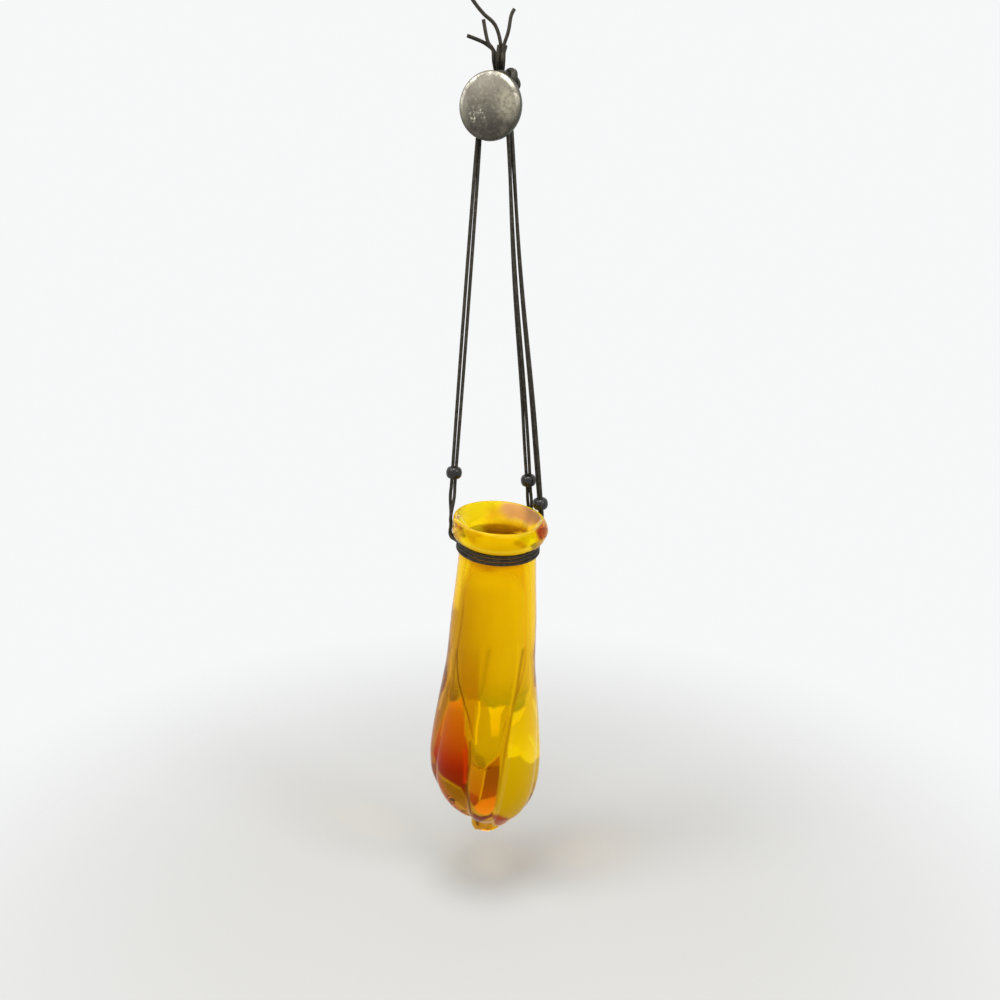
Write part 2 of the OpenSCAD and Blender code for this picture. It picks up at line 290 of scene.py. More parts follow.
print("the valleys take %.1f mm off the lobes" % (BELLY_D / 2 * fold_depth(BELLY_AT)))

# %% Lean and drift
RIM_AT = np.array([6.3, -30.3, -218.4])  # where the middle of the rim hangs
LEAN_FRONT, LEAN_RIGHT, DRIFT_TURN = np.radians((4.3, 5.5, 21))
DRIFT = smooth([  # depth, distance to the right of the middle line
    [0, 0], [6, 1.4], [14, 0.6], [60, 0.9], [140, 0.9], [165, 1.5],
    [181, 2.4], [196, 3.4], [206, 4.6], [214, 3], [222, -5.2]], 4)


def lean(points):
    """Points turned about X and then about Y, by the angles at which the vase hangs."""
    x, y, z = np.moveaxis(np.asarray(points, float), -1, 0)
    cos, sin = np.cos(LEAN_FRONT), np.sin(LEAN_FRONT)
    y, z = y * cos - z * sin, y * sin + z * cos
    cos, sin = np.cos(LEAN_RIGHT), np.sin(LEAN_RIGHT)
    return np.stack([x * cos + z * sin, y, z * cos - x * sin], axis=-1)


def drifted(radius, turn, depth):
    """(r cos(turn), r sin(turn)), moved sideways as the middle line drifts."""
    off = np.interp(depth, DRIFT[:, 0], DRIFT[:, 1])
    x = radius * np.cos(np.radians(turn)) + off * np.cos(DRIFT_TURN)
    y = radius * np.sin(np.radians(turn)) + off * np.sin(DRIFT_TURN)
    return x, y


def hang(radius, turn, depth):
    """Where a point of the vase hangs: drifted, at its depth under the rim, and leaned."""
    x, y = drifted(radius, turn, depth)
    return RIM_AT + lean(np.stack([x, y, -depth + 0 * x], axis=-1))


print("the nib's tip hangs at", hang(0, 0, GLASS_H).round(1), "mm")

# %% Rings of the glass
SAG = 7  # how much lower the belly's right edge hangs than its left one
FEET_AT, FOOT_DOWN, FOOT_UP = 190, 4.2, 2.4  # where the lobes' feet begin, and how far they move
HEEL_AT, HEEL_RIGHT, HEEL_LEFT = 207, 2.8, 1.7  # where the heel begins, and its width on each side


def bell(x, middle, width):
    """1 at the middle and less on both sides: exp(-((x - middle) / width)^2)."""
    return np.exp(-(((x - middle) / width) ** 2))


def glass_ring(depth, radius, share, sides):
    """One ring of the glass, not leaned yet: radius (1 - share of the valleys), with a heel added
    at the right and left of the nib's root. The ring is lowered on its right and raised on its
    left, most of all at the lobes' feet."""
    turn = 360 * np.arange(sides) / sides
    right = np.cos(np.radians(turn) - DRIFT_TURN)
    on_right, on_left = np.maximum(right, 0), np.maximum(-right, 0)
    heel = ease((depth - HEEL_AT) / 6) * ease((GLASS_H - depth) / 5)
    radii = radius * (1 - share * folds(turn, depth))
    radii = radii + heel * (HEEL_RIGHT * on_right + HEEL_LEFT * on_left)
    feet = FOOT_DOWN * bell(radius, 14, 6) * on_right - FOOT_UP * bell(radius, 11, 5) * on_left
    drop = SAG / BELLY_D * radius * ease((depth - BELLY_AT) / 30) * right + feet * ease((depth - FEET_AT) / 8)
    x, y = drifted(radii, turn, depth)
    return np.stack([x, y, -depth - drop], axis=1)


print("one ring:", glass_ring(BELLY_AT, BELLY_D / 2, fold_depth(BELLY_AT), 320).shape)

# %% [markdown]
# ### The glass's colour
# The maker laid red, orange and olive glass into the amber, and the folds bend its streaks into
# facets. Where the folds bend light, some bright facets and edges are painted highlights, and some
# dark hollows and creases are painted shade. True streaks inside the glass would need a volume that
# the exported model can't carry.
# So the colour lies in the skin, as a tint for each point of the mesh. Light that comes through
# crosses the back and the front of the outside, and Blender tints it each time by the square root
# of the colour, so a colour c is seen where the front's tint is c^2 / back's tint.
#
# The front is drawn like a leaded window, on a sheet that leans back by 15 degrees: `u` runs to
# the right, `v` up, in millimetres. It is fixed to the glass and turns with it. A pane is an
# outline with one or more colours from its top to its bottom, and a line is a path with a width.
# Both fade over a small distance at their edges.

# %% Colour functions
SHEET_TURN, SHEET_TILT = np.radians((21, 15.2))


def linear(*rgb):
    """A colour from 0 to 255, as it looks on a screen, in Blender's linear values."""
    c = np.array(rgb, float) / 255
    return np.where(c > 0.04045, ((c + 0.055) / 1.055) ** 2.4, c / 12.92)


def on_sheet(points):
    """Place on the sheet (u, v) and distance behind it: points turned by 21 degrees about Z, then
    tilted by 15.2 degrees."""
    x, y, z = points.T
    u = x * np.cos(SHEET_TURN) + y * np.sin(SHEET_TURN)
    away = y * np.cos(SHEET_TURN) - x * np.sin(SHEET_TURN)
    return np.stack([u, z * np.cos(SHEET_TILT) + away * np.sin(SHEET_TILT)], axis=1), away


def to_segments(uv, path):
    """Distance from each point to the nearest segment p-q of a path. The nearest place on it is
    p + t(q-p), with t held between 0 and 1."""
    near = np.full(len(uv), np.inf)
    for p, q in zip(path[:-1], path[1:]):
        t = np.clip((uv - p) @ (q - p) / max((q - p) @ (q - p), 1e-9), 0, 1)
        near = np.minimum(near, np.linalg.norm(uv - p - t[:, None] * (q - p), axis=1))
    return near


def inside(uv, outline):
    """True where a point lies in an outline: a ray from it crosses the edge an odd number of times."""
    crossed = np.zeros(len(uv), bool)
    for p, q in zip(outline, np.roll(outline, -1, axis=0)):
        level = (p[1] > uv[:, 1]) != (q[1] > uv[:, 1])
        slope = (q[0] - p[0]) / (q[1] - p[1] if q[1] != p[1] else 1)
        crossed ^= level & (uv[:, 0] < p[0] + (uv[:, 1] - p[1]) * slope)
    return crossed


print("amber in linear values:", linear(224, 174, 2).round(3))

# %% [markdown]
# ### Panes and lines
# Each outline below is one streak, facet or fold of the real glass. Its corners were picked on the
# photograph, turned to millimetres at about 0.58 mm for a pixel, and rounded to half a
# millimetre. Its colours were set after the photograph's at single places, and corrected by
# comparing renders with it. They are drawn in this order, the later ones over the earlier ones.

# %% Panes and lines
PANES = [  # fade at the edge, clearness of the top, colours from the top down, outline
    (9, 0, [(240, 194, 3)],  # glow under the neck
     [(-32, -235), (18, -234.5), (19.5, -254.5), (-32, -254.5)]),
    (1.8, 0, [(255, 218, 3), (254, 212, 3), (236, 194, 2)],  # bright right margin
     [(12, -240), (21.5, -240.5), (22.5, -298.5), (14, -297)]),
    (1.6, 0, [(255, 220, 4), (250, 208, 3), (226, 180, 2)],  # bright left margin
     [(-33, -242), (-25.5, -244), (-26.5, -258), (-28, -272), (-36, -272)]),
    (1.6, 0, [(204, 146, 1)],  # shade under the wrap
     [(-26, -241), (-18, -246.5), (-11, -249), (-3.5, -247.5), (7, -246), (16, -240.5)]),
    (1.2, 0, [(242, 198, 4), (232, 184, 3)],  # lip, front
     [(-32.5, -217.5), (-21, -225), (-4.5, -228), (13, -226.5), (25, -217), (25, -229), (12, -237),
      (-4.5, -240), (-21, -236.5), (-33, -229.5)]),
    (0.8, 0, [(168, 94, 8)],  # lip, brown at its left
     [(-30, -220.5), (-27, -221), (-23.5, -224), (-26, -226), (-29.5, -224)]),
    (1.5, 0, [(255, 228, 4), (255, 232, 6)],  # lip, bright at its right
     [(2, -229), (13, -226.5), (15.5, -226.5), (16.5, -232), (12, -235), (8, -231.5)]),
    (0.8, 0, [(232, 150, 96), (214, 150, 70)],  # lip, rolled end
     [(20, -218.5), (24, -220.5), (24.5, -226), (21.5, -230.5), (21, -224.5), (18.5, -221.5)]),
    (1, 0, [(178, 70, 36), (166, 50, 22)],  # lip, red in its roll
     [(15, -226), (18.5, -222), (22.5, -225), (21.5, -230.5), (17.5, -231.5)]),
    # painted shade of the hollow's rounded end
    (0.7, 1, [(190, 150, 2), (178, 148, 1), (176, 150, 0)],  # olive band over the scallops
     [(-21.5, -311), (12, -312.5), (12, -327.5), (8.5, -333), (4.5, -334), (2.5, -329), (-1.5, -329),
      (-5, -327.5), (-7.5, -330), (-11, -329.5), (-13.5, -326.5), (-17, -324.5), (-22, -322.5)]),
    (1.2, 1, [(178, 112, 0), (184, 122, 0)],  # amber to the left of it
     [(-27.5, -290), (-16, -292), (-17, -325), (-23, -325.5), (-27, -320)]),
    (1, 0.9, [(150, 100, 8), (138, 88, 2)],  # brown end of a fold
     [(-36, -314), (-28.5, -312), (-28.5, -324.5), (-31, -328), (-34, -328), (-36, -325)]),
    (1.6, 0.5, [(150, 108, 30), (152, 96, 10), (165, 80, 6), (160, 70, 6), (172, 100, 8)],  # left margin
     [(-36.5, -296), (-34, -327.5), (-40, -342.5), (-45, -357.5), (-45, -369), (-40, -378),
      (-33.5, -390.5), (-25.5, -404.5), (-41.5, -398), (-52, -377.5), (-51.5, -355), (-43, -324.5),
      (-39, -295.5)]),
    (1, 0.1,  # orange to red lobe
     [(244, 138, 0), (202, 104, 0), (192, 88, 0), (184, 74, 0), (168, 44, 2), (140, 4, 3), (128, 0, 3),
      (122, 0, 3)],
     [(-34.5, -329), (-28.5, -326.5), (-26.5, -324), (-25, -338), (-24.5, -349), (-22.5, -351.5),
      (-23, -370), (-25, -382.5), (-24.5, -391), (-28, -382.5), (-34, -379), (-39.5, -376.5),
      (-43.5, -372.5), (-45.5, -364), (-43.5, -354), (-39, -341)]),
    (0.9, 0, [(146, 94, 2), (142, 90, 0), (168, 104, 0)],  # olive under it
     [(-41, -378), (-34.5, -380), (-28, -383.5), (-24.5, -391.5), (-24, -401), (-30, -394),
      (-36.5, -386)]),
    (1, 0.3, [(205, 140, 2), (198, 135, 0), (200, 140, 2)],  # between lobe and channel
     [(-24, -325.5), (-17.5, -325), (-19.5, -353.5), (-22, -358), (-24, -350.5)]),
    (0.8, 0.5, [(215, 168, 2), (212, 168, 2), (204, 162, 0), (182, 142, 0)],  # pocket
     [(-18.5, -329), (-1.5, -329.5), (-2.5, -344), (-4.5, -356.5), (-8, -362), (-12, -366),
      (-15, -367.5), (-17.5, -366), (-19, -361), (-20.5, -350.5)]),
    # painted shade at the foot of the hollow's pocket
    (1.2, 0.2, [(185, 145, 0), (160, 115, 0)],  # pocket's dark foot
     [(-21.5, -349), (-18.5, -358), (-14, -360.5), (-12.5, -367), (-15, -367.5), (-18, -366),
      (-21, -358)]),
    # painted highlight: a bright facet where the fold bends light
    (0.7, 0, [(255, 206, 4), (255, 200, 4), (228, 178, 3)],  # middle facet
     [(-11, -329.5), (-8, -330.5), (-4.5, -329.5), (-1.5, -329), (-4, -334), (-5, -347.5),
      (-9.5, -347.5), (-10, -335)]),
    (0.7, 0.3, [(196, 132, 0), (190, 115, 0), (184, 96, 0)],  # channel, left bar
     [(-22, -361.5), (-18.5, -366.5), (-13, -367.5), (-15, -379.5), (-16.5, -388), (-22.5, -388.5),
      (-23, -373)]),
    (0.5, 0, [(176, 100, 6)],  # channel, lit corner
     [(-12.5, -367), (-4.5, -359), (-4.5, -367)]),
    (0.5, 0, [(146, 76, 0), (150, 76, 0), (170, 80, 0)],  # channel, brown
     [(-12.5, -366), (-4.5, -366.5), (-4.5, -379), (-6, -387.5), (-12, -388), (-16.5, -389),
      (-14.5, -378.5)]),
    (0.8, 0.2, [(170, 75, 2), (148, 40, 2)],  # channel, red foot
     [(-23, -383.5), (-16.5, -387), (-17.5, -392.5), (-20.5, -394), (-22.5, -390)]),
    (0.8, 0, [(214, 112, 2), (228, 126, 8), (240, 138, 14)],  # channel, orange foot
     [(-20, -394.5), (-16, -389), (-5.5, -386), (-6, -391.5), (-9, -398), (-13, -400.5), (-18.5, -398)]),
    (0.7, 0, [(120, 45, 4), (105, 30, 4)],  # band over the nib
     [(-21.5, -399), (-16.5, -401.5), (-11, -400.5), (-9, -398), (-8.5, -402), (-13, -405),
      (-18.5, -416), (-21, -408.5)]),
    (0.8, 0, [(184, 128, 4), (180, 122, 2)],  # nib
     [(-20.5, -418), (-15.5, -406.5), (-10.5, -402.5), (-7.5, -416), (-12, -421.5), (-16.5, -423),
      (-20, -422.5)]),
    (0.8, 0.2, [(228, 186, 2), (232, 192, 2), (250, 212, 10)],  # right lobe, upper
     [(5, -326), (13.5, -322), (20.5, -339), (23, -369), (19, -368.5), (16.5, -369), (14, -368.5),
      (10, -365), (7, -361.5), (4, -362), (0.5, -362), (0.5, -347.5), (2.5, -335)]),
    (0.8, 0, [(208, 172, 4), (200, 162, 1), (190, 152, 0), (174, 132, 0)],  # right lobe, lower
     [(0.5, -362), (4, -362), (7, -361.5), (10, -365), (14, -368.5), (16.5, -369), (19, -368.5),
      (23, -369), (22, -387), (8, -404.5), (-4.5, -411.5), (-7.5, -395.5), (-4, -369), (-2, -361.5)]),
    (1.4, 0, [(150, 56, 0), (146, 60, 0)],  # red beside the nib
     [(-9, -400), (-4.5, -402.5), (1, -405.5), (-1, -412.5), (-7, -415), (-9, -405)]),
    (0.6, 0.5, [(176, 154, 2), (170, 148, 0)],  # olive between the facets
     [(3, -326), (7.5, -323), (11.5, -321), (10, -330.5), (5.5, -333.5), (3, -333.5)]),
    # painted highlight: a bright facet where the fold bends light
    (0.6, 0, [(255, 218, 6), (255, 212, 6)],  # right facet
     [(4, -334), (7.5, -333.5), (10.5, -332), (7, -339.5), (2.5, -342), (2.5, -337)]),
    # painted highlight at the foot of the bright part
    (0.8, 0.6, [(250, 214, 14), (255, 220, 30)],  # facet at the foot of the bright part
     [(0.5, -353), (7, -357), (7, -361.5), (4, -362), (0.5, -362)]),
    # painted highlight beside it
    (0.8, 0.4, [(245, 208, 10), (252, 218, 20)],  # second facet there
     [(8, -358.5), (17.5, -363.5), (16.5, -369), (14, -368.5), (10, -365)]),
]
LINES = [  # width, fade, strength, colour, path
    # painted highlight along the lip's lower edge
    (1.1, 0.6, 0.8, (255, 226, 70),  # lip, lower edge
     [(-28.5, -227), (-25, -232), (-19, -235), (-12.5, -237), (-4.5, -238), (4, -237.5), (11, -236),
      (18, -232.5)]),
    # painted highlight along the lip's crest
    (1, 0.5, 0.8, (255, 228, 70),  # lip, crest
     [(-29.5, -220), (-25, -224), (-18, -226), (-4.5, -229), (7.5, -228.5), (14.5, -225.5), (20, -220)]),
    (1.4, 0.6, 0.85, (176, 128, 0),  # ridge
     [(9, -296), (7, -309), (5, -323), (2.5, -335), (0.5, -347.5), (-1.5, -358), (-3, -369.5),
      (-5, -382.5), (-7, -394)]),
    (1.2, 0.7, 0.6, (232, 188, 10),  # light beside it
     [(6, -292.5), (5, -310.5), (2.5, -326), (1, -335)]),
    # painted shade along a crease
    (2.2, 1.4, 0.45, (170, 122, 0),  # crease above the pocket
     [(-10.5, -294.5), (-12.5, -305.5), (-14, -315.5), (-16.5, -323.5)]),
    (1.3, 0.5, 0.9, (245, 192, 16),  # light left of the pocket
     [(-16.5, -326.5), (-16.5, -332.5), (-18, -342.5), (-18.5, -352.5)]),
    (0.8, 0.5, 0.6, (222, 150, 24),  # light on the left lobe
     [(-24, -325), (-24.5, -335), (-25, -347.5)]),
    (1, 0.7, 0.7, (226, 166, 78),  # left outline, light
     [(-32.5, -297), (-34, -310.5), (-36.5, -320), (-39, -327), (-41, -335)]),
    (0.7, 0.5, 0.5, (220, 150, 50),  # left outline, second
     [(-34.5, -321.5), (-35, -329), (-36.5, -335.5), (-40, -351)]),
    (1.2, 0.8, 0.6, (140, 84, 10),  # left outline, dark
     [(-29.5, -296.5), (-31.5, -310), (-32, -321)]),
    (0.8, 0.4, 0.8, (226, 160, 20),  # edge of the channel
     [(-4.5, -359), (-8, -362.5), (-12, -366), (-13.5, -371.5), (-15, -380.5), (-16.5, -388)]),
    (1, 0.6, 0.7, (110, 30, 4),  # fold beside the channel, upper
     [(-22, -351.5), (-22, -363.5), (-23.5, -374), (-24, -382.5)]),
    (1.9, 0.7, 0.85, (104, 48, 14),  # fold beside the channel, lower
     [(-25, -381), (-23.5, -389), (-22.5, -398), (-21, -408), (-18.5, -417)]),
    (0.6, 0.4, 0.25, (220, 130, 60),  # its light edge
     [(-22, -394.5), (-21, -405.5), (-20, -419)]),
    (1.6, 1, 0.75, (206, 58, 2),  # red ridge
     [(-25.5, -357), (-25, -366.5), (-25.5, -378.5)]),
    (1, 0.5, 0.95, (255, 226, 30),  # right streak
     [(13.5, -351), (16, -357), (19, -366.5)]),
    (1.2, 0.7, 0.6, (252, 220, 60),  # right margin
     [(15.5, -329), (18, -340.5), (20.5, -354.5), (21, -366.5)]),
    (0.8, 0.6, 0.6, (244, 206, 10),  # right margin, upper
     [(13, -303), (14, -319), (12, -327.5)]),
]
MOUTH = [  # the same as PANES, for the inside of the mouth
    (3, 0, [(238, 186, 40)],  # amber middle
     [(-11.5, -214), (-1.5, -212.5), (2.5, -221), (-12.5, -221)]),
    (3, 0, [(214, 160, 104), (198, 136, 78)],  # peach veil
     [(-2.5, -209), (7.5, -210), (16.5, -212), (22.5, -217.5), (21, -222), (13, -225), (7, -222),
      (0.5, -220.5), (-4.5, -215.5)]),
    (4, 0, [(160, 118, 82)],  # tan at its right
     [(11, -212.5), (19, -214.5), (24, -218.5), (19, -222), (12, -221)]),
    # painted shade in the depth of the throat
    (2.2, 0, [(214, 164, 14), (200, 134, 12), (188, 112, 8)],  # depth of the throat
     [(-15, -224.5), (-11, -222), (-1.5, -221), (7.5, -222.5), (12, -225.5), (11, -230.5),
      (-4.5, -232.5), (-12.5, -230.5)]),
    (0.8, 0, [(252, 204, 36)],  # light at its right
     [(12, -225.5), (19, -221.5), (22, -221), (19, -225.5), (12, -228.5)]),
]


print(len(PANES), "panes,", len(LINES), "lines,", len(MOUTH), "panes in the mouth")

# %% [markdown]
# ### Drawing them
# For each point of the mesh the distance to an outline says how far it lies inside, and a soft
# step of that distance is the pane's share. The shade under all panes is plain amber, darker at
# the left and further down, and lighter at the right.

# %% Drawing
def body_shade(uv):
    """Darker amber at the left and further down, brighter yellow at the right."""
    u, v = uv.T
    across = np.clip((u + 5 + 0.03 * (v + 220)) / 26, -1, 1)[:, None]
    left, middle, right = linear(196, 144, 2), linear(224, 174, 2), linear(238, 192, 3)
    seen = middle + (right - middle) * ease(across) + (left - middle) * ease(-across)
    return seen * (1.03 - 0.2 * ease((-245 - v) / 110))[:, None]


def drawn(uv, seen, panes, lines=()):
    """The colour seen at each place: each pane and then each line moves it by (goal - seen) share.
    A pane's share is ease(0.5 + distance inside / 2 fade), and less at its top where that is clear."""
    v = uv[:, 1]
    for fade, clear, stops, outline in panes:
        outline = np.array(outline, float)
        edge = to_segments(uv, np.vstack([outline, outline[:1]]))
        mask = ease(0.5 + np.where(inside(uv, outline), edge, -edge) / (2 * fade))
        bottom, top = outline[:, 1].min(), outline[:, 1].max()
        heights = np.linspace(bottom, top, len(stops))
        colours = np.array([linear(*c) for c in stops])[::-1]
        goal = np.stack([np.interp(v, heights, colours[:, k]) for k in range(3)], axis=1)
        strength = np.interp(v, [bottom, top], [1, 1 - clear])
        seen = seen + (goal - seen) * (mask * strength)[:, None]
    for width, fade, alpha, colour, path in lines:
        near = to_segments(uv, smooth(path, 4))
        mask = alpha * ease((width / 2 + fade - near) / (2 * fade))
        seen = seen + (linear(*colour) - seen) * mask[:, None]
    return seen


print("shade at the middle of the body:", body_shade(np.array([[0.0, -280.0]])).round(3))

# %% [markdown]
# ### The glass's mesh
# The outside runs up from the nib, turns over the rim and goes on down the inside to the end of
# the hollow, as one closed skin, because real glass is one wall with two sides. Light bends only
# where it enters or leaves it. The rows lie closer where panes are drawn.

# %% Glass mesh
def rows_of(profile, steps):
    """Rows (depth, radius) of a profile, at one step for each range of depths."""
    depths = profile[:, 0]
    return np.vstack([even(profile[(depths >= low) & (depths < high)], step) for low, high, step in steps])


SIDES = 320
OUTSIDE_STEPS = [(82, 300, 0.95), (16, 82, 2.4), (-1, 16, 0.9)]  # from a depth, to a depth, step
INSIDE_STEPS = [(-1, 22, 1.0), (22, 200, 3.0)]
outside_rows = rows_of(outside_profile(12), OUTSIDE_STEPS)
inside_rows = rows_of(inside_profile(12), INSIDE_STEPS)
outer = [glass_ring(d, r, fold_depth(d), SIDES) for d, r in outside_rows]
inner = [glass_ring(d, r, 0.35 * fold_depth(d), SIDES) for d, r in inside_rows]
rings = RIM_AT + lean(np.array(outer + inner))
poles = RIM_AT + lean(np.array([[-2, -0.8, -GLASS_H - 0.8], [1.8, 0.7, -POCKET_AT]]))
vase = skin("blown_glass", rings, poles[0], poles[1])
points = np.vstack([rings.reshape(-1, 3), poles])
is_inside = np.r_[np.arange(len(rings)).repeat(SIDES) >= len(outer), False, True]
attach(vase, "hanging")
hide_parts("glass_vase")
print("glass:", len(vase.data.polygons), "faces")

# %% [markdown]
# ### Tint and clearness
# A point on the front half gets the drawn colour, one on the back half a clear yellow, and the
# inside none, but for the mouth, where it is looked at directly. The lip and the mouth's far wall
# are made milky: less light passes through them, and more comes back in their own colour. That
# is kept in the fourth number of the colour, which says how clear a point is.
#
# The front is made 12 hundredths brighter than it is drawn, to make up for the light that the
# glass reflects and takes away. Where that goes past white, all three parts of the colour are
# made less together, so that its hue stays.

# %% Tint and clearness
HALF_BODY, BRIGHTER, DARKEST = 30, 1.12, 0.0004
LIP_MILK, MOUTH_MILK, MORE_MILK = 0.42, 0.35, 0.5
MILKIEST = np.array([(4.0, -213), (17, -218)])  # the milkiest part of the mouth's far wall
uv, away = on_sheet(points)
depth = np.r_[np.r_[outside_rows[:, 0], inside_rows[:, 0]].repeat(SIDES), GLASS_H, POCKET_AT]
middle_away = np.r_[on_sheet(rings.mean(1))[1].repeat(SIDES), away[-2:]]
behind = (away - middle_away) / HALF_BODY
in_front = ease((0.12 - behind) / 0.25)[:, None]  # 1 on the front half, 0 on the back half
back = linear(255, 228, 8)
front = BRIGHTER * drawn(uv, body_shade(uv), PANES, LINES)
front = front / np.maximum(front.max(axis=1), 1)[:, None]
in_lip = ease((19 - depth) / 6)[:, None]  # 1 down to 13 mm, 0 from 19 mm on
front = front ** (2 - in_lip) / back ** (1 - in_lip)
mouth = drawn(uv, np.broadcast_to(linear(246, 222, 30), front.shape), MOUTH)
in_mouth = ease((52 - depth) / 14)[:, None] * (1 - in_front)  # on the far wall, 0 from 52 mm
colours = np.ones((len(points), 4))
colours[:, :3] = np.where(is_inside[:, None], 1 + (mouth - 1) * in_mouth, back + (front - back) * in_front)
near_it = ease((13 - to_segments(uv, MILKIEST)) / 8)
milk = np.where(is_inside, in_mouth[:, 0] * (MOUTH_MILK + MORE_MILK * near_it), LIP_MILK * in_lip[:, 0])
colours[:, 3] = 1 - milk
tint = vase.data.color_attributes.new("tint", "FLOAT_COLOR", "POINT")
tint.data.foreach_set("color", np.clip(colours, DARKEST, 1).ravel())
print("mean tint:", colours[:, :3].mean(0).round(3), "clearness from", colours[:, 3].min().round(2))

# %% [markdown]
# ## The laces
# Three round leather laces carry the vase. Each lies once round the neck under the lip, and its
# two ends go up side by side, through one bead, past the knob's stem and into the knot. A cloth or
# rope simulation could find such a route, but not the same one each time, so the route is a list
# of places on the neck, the lip's edge, the bead and the stem, as in the CAD source, and a smooth
# curve runs through them.

# %% Strands
CORD_D, TOUCH = 1.9, 0.08  # a lace's thickness, and the gap where two pieces touch
PITCH, FIRST_LOOP = 2.15, 2.75  # from loop to loop, and from the lip's lower edge to the first one
CORD_Y, STEM_R = -22.0, 6.5  # where the strands cross the stem, and its radius
CORD_R, GAP = CORD_D / 2, CORD_D + TOUCH
HOOK_R, RING_R = STEM_R + CORD_R + TOUCH, GAP + 0.05  # round the stem, and in the knot's bundle
CONTACT_R, CONTACT_DEPTH = LIP_D / 2 + CORD_R + 4 * TOUCH, 0.3 * LIP_H  # beside the lip
BEAD_D, BEAD_L, BEAD_HOLE = 9.0, 6.6, 4.4
# The knot's bundle begins at KNOT_IN, KNOT_AT is its middle, and the tails spread from KNOT_OUT.
KNOT_IN = np.array([0.4, CORD_Y + 1.5, STEM_R + 4.9])
KNOT_OUT = np.array([2.4, CORD_Y + 1.6, STEM_R + 17.3])
KNOT_AT = np.array([7.8, CORD_Y + 4.3, STEM_R + 7.2])
BOW, BOW_FROM = 1.15, 55  # how far two strands bow, and from which height over the lip

# Each strand has its turn on the lip, its loop's number from the top, its bead's height over the
# lip, the turns of its pair of laces at the lip and at the bead, the length over which the pair
# turns below the stem, its side of the stem, and its place along the stem.
Run = namedtuple("Run", "turn loop bead_at lip_turn bead_turn twisted side stem_y")
RUNS = {
    "left": Run(199, 0, 27, -71, 30, 42, -1, 1.6),
    "middle": Run(73, 1, 18.5, 163, 180, 160, 1, 0.0),
    "right": Run(54, 2, 7, 144, 150, 160, 1, 4.3),
}
PLACES = {"left": (210, 150), "middle": (330, 270), "right": (90, 30)}  # of each end in the knot
outside_by_depth = outside_profile(2)[::-1]


def strand(run, s):
    """Point of a strand's middle line at s millimetres over the lip, its direction and its length.
    The left one is straight. The two others are straight where their beads slide, and then bow to
    the left by 1.15 sin(pi t)^2 millimetres."""
    low = hang(CONTACT_R, run.turn, CONTACT_DEPTH)
    high = np.array([run.side * HOOK_R, CORD_Y + run.stem_y, 0])
    length = np.linalg.norm(high - low)
    d = (high - low) / length
    t = np.clip((s - BOW_FROM) / (length - BOW_FROM), 0, 1)
    bow = BOW * np.sin(np.pi * t) ** 2 * (run.side > 0)
    return low + s * d - [bow, 0, 0], d, length


print("strands over the lip:", [round(float(strand(run, 0)[2])) for run in RUNS.values()], "mm")

# %% Loops and ends
def towards(turn):
    """The level direction (cos(turn), sin(turn), 0) of a turn in degrees."""
    return np.array([np.cos(np.radians(turn)), np.sin(np.radians(turn)), 0])


def beside(point, side, turn, gap):
    """A point half a gap to one side: point + side gap/2 towards a turn."""
    return point + side * gap / 2 * towards(turn)


def loop_place(run):
    """Depth and radius of a lace's turn round the neck, close to the glass."""
    deep = LIP_H + FIRST_LOOP + run.loop * PITCH
    return deep, np.interp(deep, outside_by_depth[:, 0], outside_by_depth[:, 1]) + CORD_R + 2 * TOUCH


def lace_loop(run):
    """The turn round the neck: 330 degrees at one depth."""
    deep, r = loop_place(run)
    return hang(r, run.turn + 15 + np.arange(27) * 330 / 26, deep)


def lace_end(run, side, place):
    """One end of a lace: out of its loop, over the lip's edge, up the strand and over the stem."""
    half = np.degrees(GAP / 2 / CONTACT_R)
    deep, r = loop_place(run)
    points = [
        hang(r + 0.9, run.turn + side * 11, deep),
        hang(r + 2.2, run.turn + side * 6.5, deep - 0.2),
        hang(CONTACT_R - 1.3, run.turn + side * 3.6, (deep + LIP_H) / 2 + 0.5),
        hang(CONTACT_R - 0.3, run.turn + side * (half + 0.3), LIP_H - 0.8),
        hang(CONTACT_R, run.turn + side * half, CONTACT_DEPTH + 3),
    ]
    low, high = run.bead_at - BEAD_L, strand(run, 0)[2] - run.twisted
    for k in range(6):  # from the lip to the bead
        u = k / 5
        turn = run.lip_turn + (run.bead_turn - run.lip_turn) * ease(u)
        gap = GAP + 0.5 * np.sin(np.pi * u) * min(low, 12) / 12
        points.append(beside(strand(run, low * u)[0], side, turn, gap))
    for k in range(1, 10):  # side by side up the strand
        gap = GAP + 0.35 * np.sin(np.pi * k / 10)
        points.append(beside(strand(run, low + (high - low) * k / 10)[0], side, run.bead_turn, gap))
    for k in range(8):  # turning, to lie one behind the other at the stem
        turn = run.bead_turn + (90 - run.bead_turn) * k / 8
        points.append(beside(strand(run, high + run.twisted * k / 8)[0], side, turn, GAP))
    y = CORD_Y + run.stem_y + side * GAP / 2
    spot = KNOT_IN + RING_R * towards(place)
    for k in range(6):  # over the stem, to the knot
        turn = np.radians(10 * k)
        points.append([run.side * HOOK_R * np.cos(turn), y + (spot[1] - y) * k / 7, HOOK_R * np.sin(turn)])
    return np.array(points + [spot - [0, 0, 2.2], spot])


print("an end has", len(lace_end(RUNS["left"], 1, 210)), "points, a loop", len(lace_loop(RUNS["left"])))

# %% [markdown]
# ### Lace skins
# A lace is cut from one strip and rolled round, so it has the same thickness all along: a tube of
# 1.9 mm with closed ends. Both ends of a lace and its loop are one tube.

